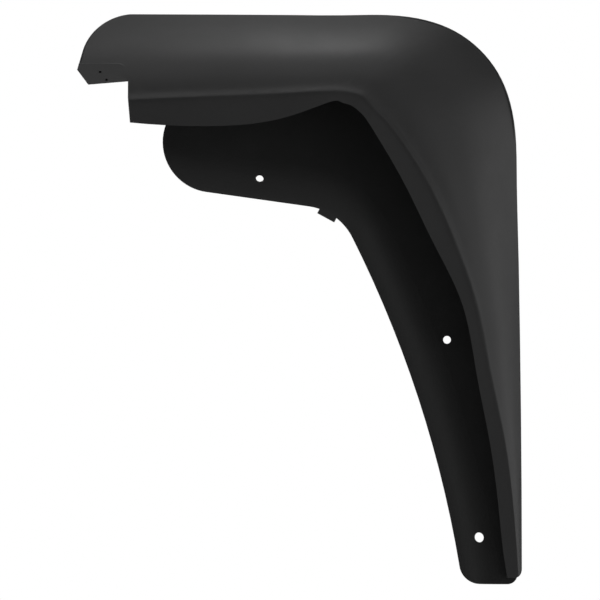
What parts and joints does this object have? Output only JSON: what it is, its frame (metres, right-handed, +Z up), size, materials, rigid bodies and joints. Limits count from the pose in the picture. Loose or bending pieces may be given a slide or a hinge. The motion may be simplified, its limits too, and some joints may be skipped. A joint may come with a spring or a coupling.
{
  "type": "mud flap",
  "caption": "Black moulded mud flap with a hood that stands out over the tyre, a web behind it with plain fixing holes, a stepped free end and a tapering leg.",
  "frame": {"origin": "centre of the middle fixing hole, on the front face of the web", "axes": "+X towards the hood's outer corner, +Z up, -Y towards whoever looks at the fitted part"},
  "size_m": [0.3979, 0.1128, 0.5131],
  "materials": {
    "hood_plastic": "black moulded plastic, fine leather grain, satin",
    "web_plastic": "black moulded plastic, flatter and darker than the hood",
    "seal_rubber": "soft black rubber",
    "rivet_aluminium": "bare aluminium, slightly dulled",
    "mandrel_steel": "zinc-plated steel",
    "washer_steel": "zinc-plated steel"
  },
  "bodies": {
    "root": {"hood_shell": "hood_plastic", "mounting_web": "web_plastic", "rim_seal": "seal_rubber", "seam_rivets": "rivet_aluminium", "rivet_mandrels": "mandrel_steel", "rivet_washers": "washer_steel"}
  },
  "joints": []
}
